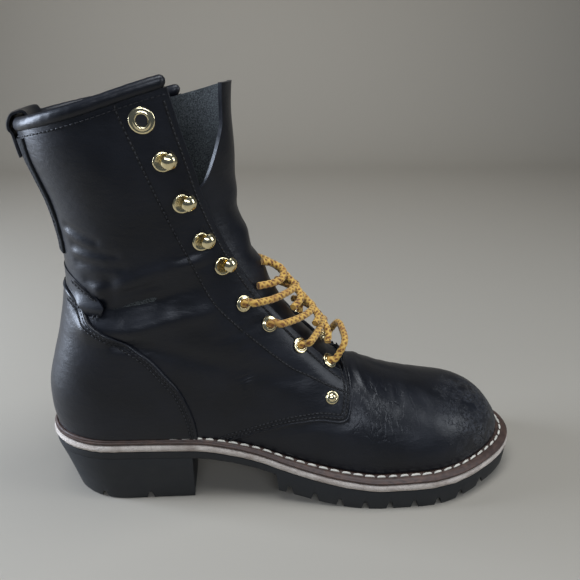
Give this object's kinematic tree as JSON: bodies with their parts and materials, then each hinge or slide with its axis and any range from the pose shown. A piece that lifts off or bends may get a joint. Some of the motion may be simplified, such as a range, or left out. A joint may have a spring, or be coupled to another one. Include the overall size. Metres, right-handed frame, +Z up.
{
  "type": "logger boot",
  "caption": "Tall black leather logger boot for the right foot, laced over eyelets and speed hooks, on a lugged sole with a high underslung heel.",
  "frame": {"origin": "middle of the heel's ground face", "axes": "+X from heel to toe, +Y to the inner side of the foot, +Z up"},
  "size_m": [0.3132, 0.1072, 0.2622],
  "materials": {
    "black_leather": "smooth, softly glossy, creased",
    "black_rubber": "matt",
    "off_white_midsole": "matt, rough edge",
    "brown_welt": "waxed edge",
    "tan_insole": "matt",
    "pale_brass": "polished",
    "yellow_lace": "braided"
  },
  "bodies": {
    "root": {"outsole": "black_rubber", "heel": "black_rubber", "midsole": "off_white_midsole", "welt": "brown_welt", "insole": "tan_insole", "upper": "black_leather", "tongue": "black_leather", "counter": "black_leather", "ankle_band": "black_leather", "backstay": "black_leather", "collar_roll": "black_leather", "pull_loop": "black_leather", "eyelet_lateral_1": "pale_brass", "eyelet_lateral_2": "pale_brass", "eyelet_lateral_3": "pale_brass", "eyelet_lateral_4": "pale_brass", "eyelet_lateral_5": "pale_brass", "eyelet_medial_1": "pale_brass", "eyelet_medial_2": "pale_brass", "eyelet_medial_3": "pale_brass", "eyelet_medial_4": "pale_brass", "eyelet_medial_5": "pale_brass", "hook_lateral_1": "pale_brass", "hook_lateral_2": "pale_brass", "hook_lateral_3": "pale_brass", "hook_lateral_4": "pale_brass", "hook_medial_1": "pale_brass", "hook_medial_2": "pale_brass", "hook_medial_3": "pale_brass", "hook_medial_4": "pale_brass", "rivet_lateral": "pale_brass", "rivet_medial": "pale_brass", "lace_bar_1": "yellow_lace", "lace_crossing_2": "yellow_lace", "lace_crossing_3": "yellow_lace", "lace_crossing_4": "yellow_lace", "lace_loop": "yellow_lace"}
  },
  "joints": []
}
